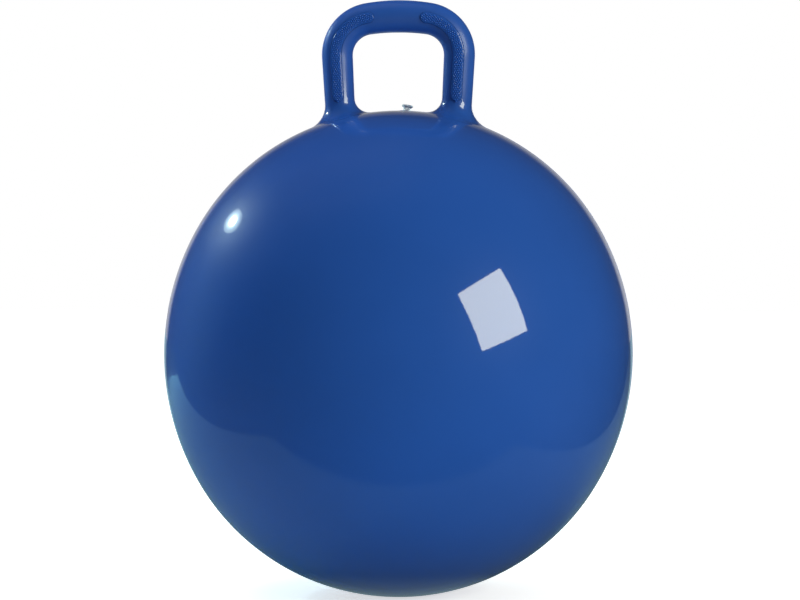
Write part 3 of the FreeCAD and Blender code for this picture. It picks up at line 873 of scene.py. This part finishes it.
def glossy_moulded_vinyl(node, place, colours):
    """Plasticised PVC, rotationally moulded in a polished mould: lamps mirror in it with sharp edges
    over an even, deep blue, with a faint orange peel and hairline scuffs."""
    height = node("SeparateXYZ", None, place).outputs["Z"]
    # the colour drifts a little where the paste lay thicker
    drift = node("TexNoise", {"Scale": per_metre(90), "Detail": 2.0}, place)
    tint = node("Mix",
                {"data_type": "RGBA", COLOUR_A: opaque(colours.vinyl, 0.94),
                 COLOUR_B: opaque(colours.vinyl, 1.06)}, drift)
    # soft vinyl's own sheen, a little uneven from handling
    wear = node("TexNoise", {"Scale": per_metre(45), "Detail": 4.0}, place)
    rough = node("MapRange", {"From Min": 0.35, "From Max": 0.75, "To Min": 0.36, "To Max": 0.42}, wear)
    # the polished mould's mirror-like film hides that sheen on the ball, and hands have rubbed most of
    # it off the handle, so both change with the height in metres
    film = node("MapRange",
                {"interpolation_type": "SMOOTHSTEP", "From Min": 0.465, "From Max": 0.500, "To Min": 1.0,
                 "To Max": 0.10}, height)
    sheen = node("MapRange",
                 {"interpolation_type": "SMOOTHSTEP", "From Min": 0.450, "From Max": 0.490, "To Min": 0.08,
                  "To Max": 1.0}, height)
    # hairline scuffs, drawn wider than real ones so that they show: the edges of a wavering cell
    # pattern, in patches, low on the ball
    waver = node("TexNoise", {"Scale": per_metre(30), "Detail": 3.0}, place)
    bent = node("VectorMath", {"operation": "MULTIPLY_ADD", 1: [SCUFF_WAVER] * 3},
                {0: waver.outputs["Color"], 2: place})
    hairs = node("TexVoronoi", {"feature": "DISTANCE_TO_EDGE", "Scale": per_metre(55)}, bent)
    hairline = node("MapRange", {"From Max": 0.008, "To Min": 1.0, "To Max": 0.0}, hairs)
    patches = node("TexNoise", {"Scale": per_metre(70), "Detail": 1.0}, place)
    patchy = node("MapRange", {"From Min": 0.56, "From Max": 0.66}, patches)
    low = node("MapRange", {"From Min": 0.10, "From Max": 0.17, "To Min": 1.0, "To Max": 0.0}, height)
    scuffed = node("Math", {"operation": "MULTIPLY"}, {0: hairline, 1: patchy})
    scuffs = node("Math", {"operation": "MULTIPLY"}, {0: scuffed, 1: low})
    peel = node("TexNoise", {"Scale": per_metre(5), "Detail": 1.5}, place)
    peel_bump = node("Bump", {"Strength": 0.12, "Distance": 0.05 * MM}, {"Height": peel})
    bump = node("Bump", {"Strength": 0.35, "Distance": 0.15 * MM, "invert": True},
                {"Height": scuffs, "Normal": peel_bump})
    return node("BsdfPrincipled", {"IOR": 1.42, "Coat Roughness": 0.035, "Coat IOR": 1.54},
                {"Base Color": tint, "Roughness": rough, "Coat Weight": film, "Specular Tint": sheen,
                 "Normal": bump, "Coat Normal": bump})


def textured_grip_vinyl(node, place, colours):
    """The same vinyl off a bead-blasted patch of the mould: a softer sheen between the domes."""
    # drawn coarser than the real grain, which is too fine to show
    grain = node("TexNoise", {"Scale": per_metre(0.8), "Detail": 3.0}, place)
    bump = node("Bump", {"Strength": 0.25, "Distance": 0.04 * MM}, {"Height": grain})
    polish = node("TexNoise", {"Scale": per_metre(20), "Detail": 2.0}, place)
    rough = node("MapRange", {"From Min": 0.3, "From Max": 0.7, "To Min": 0.13, "To Max": 0.22}, polish)
    # painted highlight on the domes' tops and painted shade down between them and along the rolled edge, read
    # from each point's height; partly it also stands for rubbing and a little grime there
    relief = node("Attribute", {"attribute_name": "relief"})
    lit_tops_shaded_hollows = node("MapRange", {"From Min": 0.1, "From Max": 0.95}, relief.outputs["Fac"])
    # the vinyl painted darker low in the hollows and brighter on the tops: painted shade and painted
    # highlight
    tint = node("Mix",
                {"data_type": "RGBA", COLOUR_A: opaque(colours.vinyl, 0.22),
                 COLOUR_B: opaque(colours.vinyl, 1.4)}, lit_tops_shaded_hollows)
    return node("BsdfPrincipled", {"IOR": 1.53}, {"Base Color": tint, "Roughness": rough, "Normal": bump})


def soft_bush_vinyl(node, place, colours):
    """Dipped soft vinyl: a dull rubbery sheen with a fine grain, drawn coarser than real so that it shows."""
    grain = node("TexNoise", {"Scale": per_metre(0.5), "Detail": 2.0}, place)
    bump = node("Bump", {"Strength": 0.2, "Distance": 0.03 * MM}, {"Height": grain})
    rough = node("MapRange", {"From Min": 0.3, "From Max": 0.7, "To Min": 0.3, "To Max": 0.42}, grain)
    return node("BsdfPrincipled", {"IOR": 1.52, "Base Color": opaque(colours.bush)},
                {"Roughness": rough, "Normal": bump})


def milky_polyethylene(node, place, colours):
    """Low-density polyethylene, injection moulded: waxy, milky white that lets light through."""
    flow = node("TexNoise", {"Scale": per_metre(3), "Detail": 2.0}, place)
    rough = node("MapRange", {"From Min": 0.3, "From Max": 0.7, "To Min": 0.32, "To Max": 0.45}, flow)
    bump = node("Bump", {"Strength": 0.15, "Distance": 0.03 * MM}, {"Height": flow})
    return node("BsdfPrincipled",
                {"IOR": 1.51, "Base Color": opaque(colours.plug), "Subsurface Weight": 0.6,
                 "Subsurface Radius": (1.0, 1.0, 1.0), "Subsurface Scale": 3 * MM,
                 "Transmission Weight": 0.55}, {"Roughness": rough, "Normal": bump})


# ---- the studio ----

def studio_way(stage, way):
    """A direction given as the camera sees it (right, away, up), turned to stand with the camera."""
    return Matrix.Rotation(stage.camera_turn, 3, "Z") @ Vector(way)


def table_share(node, turned):
    """1 on the table and 0 beyond its straight edges, as the ball reflects it."""
    share = None
    for across, away, reach in TABLE_EDGES:
        weighed = node("VectorMath", {"operation": "DOT_PRODUCT", 1: (across, away, 0)}, turned)
        inside = node("MapRange", {"From Min": reach - EDGE_BLUR, "From Max": reach + EDGE_BLUR}, weighed)
        if share:
            inside = node("Math", {"operation": "MULTIPLY"}, {0: share, 1: inside})
        share = inside
    return share


def matt_white_table(node, place, stage, colours):
    """A matt white table top: the camera sees it as white paper with the ball's own shadow, and the ball
    reflects it up to its front edge, beyond which the room is dark."""
    turned = node("Mapping", {"Rotation": (0, 0, -stage.camera_turn)}, place)
    reach = node("VectorMath", {"operation": "LENGTH"}, place)
    matt = node("BsdfDiffuse", {"Color": opaque(colours.floor)})
    # what the camera sees: white paper away from the ball, with room near it for the shadow
    fade = node("MapRange", {"From Min": 0.08, "From Max": 0.35, "To Min": 0.65}, reach)
    glow = node("Emission", None, {"Strength": fade})
    seen = node("AddShader", None, {0: matt, 1: glow})
    # what the ball's skin reflects: the table, its white paper that sweeps up far behind the ball, and right
    # under the ball a painted glow on the paper where the ball's shadow lies, which gives the skin's bottom a
    # painted reflection
    outward = node("VectorMath", {"operation": "NORMALIZE"}, turned)
    away = node("SeparateXYZ", None, outward).outputs["Y"]
    behind = node("MapRange", {**BACKDROP_EDGE, "To Min": 0.022, "To Max": 0.50}, away)
    far = node("MapRange", {"From Min": 0.4, "From Max": 0.9}, reach)
    sweep = node("Math", {"operation": "MULTIPLY"}, {0: behind, 1: far})
    beyond = node("Emission", {"Color": (0.85, 0.95, 1, 1)}, {"Strength": sweep})
    # painted glow: the paper right under the ball shines in reflections, though it lies in the ball's shadow
    under = node("MapRange", {"From Min": 0.05, "From Max": 0.10, "To Min": 0.22, "To Max": 0.0}, reach)
    paper = node("Math", {"operation": "MAXIMUM"}, {0: under, 1: sweep})
    paper_glow = node("Emission", {"Color": (0.65, 0.95, 1, 1)}, {"Strength": paper})
    in_shade = node("BsdfDiffuse", {"Color": (0.15, 0.21, 0.24, 1)})
    table = node("AddShader", None, {0: in_shade, 1: paper_glow})
    mirrored = node("MixShader", None, {"Fac": table_share(node, turned), 1: beyond, 2: table})
    # what lights the ball from below
    bounce = node("Emission", {"Strength": 0.09})
    lit = node("AddShader", None, {0: matt, 1: bounce})
    ray = node("LightPath")
    unseen = node("MixShader", None, {"Fac": ray.outputs["Is Glossy Ray"], 1: lit, 2: mirrored})
    return node("MixShader", None, {"Fac": ray.outputs["Is Camera Ray"], 1: unseen, 2: seen})


def light_world(stage):
    """White behind the ball as the camera and its reflections see it, a dark room in front, and a plain
    soft light all round."""
    world = bpy.data.worlds.new("studio")
    bpy.context.scene.world = world
    node = empty_tree(world)
    way = node("TexCoord").outputs["Generated"]
    turned = node("Mapping", {"Rotation": (0, 0, -stage.camera_turn)}, way)
    side = node("SeparateXYZ", None, turned)
    behind = node("MapRange", BACKDROP_EDGE, side.outputs["Y"])
    backdrop = node("MapRange", {"From Min": 0.05, "From Max": 0.30, "To Min": 0.55, "To Max": 0.16},
                    side.outputs["Z"])
    mirrored = node("Mix", {"A": 0.03}, {"Factor": behind, "B": backdrop})
    soft = node("MapRange", {"From Min": -1.0, "To Min": 0.01, "To Max": 0.24}, side.outputs["X"])
    ray = node("LightPath")
    unseen = node("Mix", None, {"Factor": ray.outputs["Is Glossy Ray"], "A": soft, "B": mirrored})
    # the white also shines through the milky plug
    seen_ray = node("Math", {"operation": "MAXIMUM"},
                    {0: ray.outputs["Is Camera Ray"], 1: ray.outputs["Is Transmission Ray"]})
    strength = node("Mix", {"B": 1.0}, {"Factor": seen_ray, "A": unseen})
    background = node("Background", {"Color": (1, 1, 1, 1)}, {"Strength": strength})
    node("OutputWorld", None, background)


def add_lamp(name, stage, target, way, distance, upright, width, height, radiance, colour, shape="RECTANGLE"):
    """A flat lamp seen from the ball in a direction, with its upper side towards `upright`."""
    area = width * height * (math.pi / 4 if shape == "ELLIPSE" else 1)
    light = bpy.data.lights.new(name, "AREA")
    light.shape = shape
    light.size = width
    light.size_y = height
    light.energy = math.pi * area * radiance
    light.color = colour
    lamp = add_object(name, light)
    out = studio_way(stage, way).normalized()
    right = studio_way(stage, upright).cross(out).normalized()
    turn = Matrix((right, out.cross(right), out)).transposed().to_4x4()
    lamp.matrix_world = Matrix.Translation(target + out * distance) @ turn
    return lamp


def light_studio(stage, target):
    """A square softbox to the right, a small lamp high behind on the left, and two plain fills."""
    add_lamp("softbox", stage, target, way=(0.700, -0.637, 0.325), distance=3.5,
             upright=(-0.191, -0.002, 0.4405), width=1.6, height=1.6, radiance=10.4, colour=(0.98, 1, 0.83))
    # one small lamp with a soft edge: ellipses that overlap, each wider and fainter than the last
    for number, (width, radiance) in enumerate(SMALL_LAMP_RINGS):
        add_lamp(f"small_lamp_{number}", stage, target, way=(-0.730, 0.455, 0.511), distance=2.1,
                 upright=(0, -1, 0), width=width, height=2.2 * width, radiance=radiance,
                 colour=(0.75, 1, 1), shape="ELLIPSE")
    top = add_lamp("top_light", stage, target, way=(-0.3, 0.1, 1.0), distance=2.0, upright=(0, 1, 0),
                   width=1.6, height=1.6, radiance=2.7, colour=(1, 1, 1))
    left = add_lamp("left_fill", stage, target, way=(-0.80, 0.55, 0.25), distance=2.0, upright=(0, 0, 1),
                    width=1.4, height=1.4, radiance=5.6, colour=(0.5, 0.95, 1))
    # the skin doesn't mirror the fills
    for fill in (top, left):
        fill.visible_glossy = False


def add_camera(stage):
    data = bpy.data.cameras.new("camera")
    camera = add_object("camera", data)
    reach = stage.camera_distance
    place = studio_way(stage, (0, -reach, 0)) + UP * stage.camera_height
    look = UP * stage.aim_height - place
    camera.matrix_world = Matrix.Translation(place) @ look.to_track_quat("-Z", "Y").to_matrix().to_4x4()
    data.sensor_width = SENSOR_WIDTH
    data.lens = stage.pixels_per_metre * reach / PHOTO_WIDTH * SENSOR_WIDTH
    data.shift_x, data.shift_y = (pixels / PHOTO_WIDTH for pixels in PHOTO_SHIFT)
    bpy.context.scene.camera = camera


def build_stage(stage, colours, middle):
    deselect_all()
    bpy.ops.mesh.primitive_plane_add(size=FLOOR_SIZE)
    floor = bpy.context.object
    floor.name = "floor"
    floor.data.materials.append(make_material(matt_white_table, stage, colours))
    light_world(stage)
    light_studio(stage, UP * middle)
    add_camera(stage)
    bpy.context.scene.view_settings.view_transform = "Standard"


# ---- the add-on ----

class HOPPER_OT_skin(bpy.types.Operator):
    """Builds the hollow skin: ball and loop handle in one moulding, and the mould's seam"""
    bl_idname = "hopper.skin"
    bl_label = "Skin and Handle"

    def execute(self, context):
        scene = context.scene
        skin = build_skin(scene.hopper_skin, scene.hopper_valve)
        seam = build_seam(skin, scene.hopper_skin)
        apply_modifier(skin, "SOLIDIFY", thickness=scene.hopper_skin.skin_wall, offset=-1)
        vinyl = make_material(glossy_moulded_vinyl, scene.hopper_colours)
        for piece in (skin, seam):
            make_active(piece)
            bpy.ops.object.shade_smooth()
        finish_mesh(skin, vinyl, "ball", "vinyl_skin", "ball_skin")
        finish_mesh(seam, vinyl, "ball", "vinyl_skin")
        return {"FINISHED"}


class HOPPER_OT_pads(bpy.types.Operator):
    """Builds the four textured grip strips on the handle"""
    bl_idname = "hopper.pads"
    bl_label = "Grip Strips"

    def execute(self, context):
        scene = context.scene
        vinyl = make_material(textured_grip_vinyl, scene.hopper_colours)
        for pad in build_pads(scene.hopper_skin, scene.hopper_pads):
            finish_mesh(pad, vinyl, "ball", "vinyl_skin")
        return {"FINISHED"}


class HOPPER_OT_valve(bpy.types.Operator):
    """Builds the valve's soft bush and its push-in plug"""
    bl_idname = "hopper.valve"
    bl_label = "Valve"

    def execute(self, context):
        scene = context.scene
        place = valve_place(scene.hopper_valve, BallForm(scene.hopper_skin))
        bush_vinyl = make_material(soft_bush_vinyl, scene.hopper_colours)
        plug_plastic = make_material(milky_polyethylene, scene.hopper_colours)
        finish_mesh(build_seat(place, scene.hopper_valve), bush_vinyl, "ball", "vinyl_bush", "valve_seat")
        finish_mesh(build_plug(place, scene.hopper_valve), plug_plastic, "plug", "plug_plastic", "valve_plug")
        return {"FINISHED"}


class HOPPER_OT_stage(bpy.types.Operator):
    """Sets the floor, the lamps, the world and the camera"""
    bl_idname = "hopper.stage"
    bl_label = "Studio"

    def execute(self, context):
        scene = context.scene
        build_stage(scene.hopper_stage, scene.hopper_colours, BallForm(scene.hopper_skin).middle)
        return {"FINISHED"}


class HOPPER_PT_panel(bpy.types.Panel):
    """Lists the hopper ball's pieces, sizes and colours"""
    bl_idname = "HOPPER_PT_panel"
    bl_label = "Hopper Ball"
    bl_space_type = "VIEW_3D"
    bl_region_type = "UI"
    bl_category = "Hopper Ball"

    def draw(self, context):
        for operator in OPERATORS:
            self.layout.operator(operator.bl_idname)
        for group_name, kind in GROUPS.items():
            box = self.layout.box()
            for name in kind.__annotations__:
                box.prop(getattr(context.scene, group_name), name)


GROUPS = {
    "hopper_skin": HopperSkinSizes,
    "hopper_pads": HopperPadSizes,
    "hopper_valve": HopperValveSizes,
    "hopper_colours": HopperColours,
    "hopper_stage": HopperStage,
}
OPERATORS = (HOPPER_OT_skin, HOPPER_OT_pads, HOPPER_OT_valve, HOPPER_OT_stage)
CLASSES = (*GROUPS.values(), *OPERATORS, HOPPER_PT_panel)


def register():
    for kind in CLASSES:
        bpy.utils.register_class(kind)
    for name, kind in GROUPS.items():
        setattr(bpy.types.Scene, name, bpy.props.PointerProperty(type=kind))


def unregister():
    for name in GROUPS:
        delattr(bpy.types.Scene, name)
    for kind in reversed(CLASSES):
        bpy.utils.unregister_class(kind)


def main():
    register()
    bpy.ops.hopper.skin()
    bpy.ops.hopper.pads()
    bpy.ops.hopper.valve()
    bpy.ops.hopper.stage()


if __name__ == "__main__":
    main()
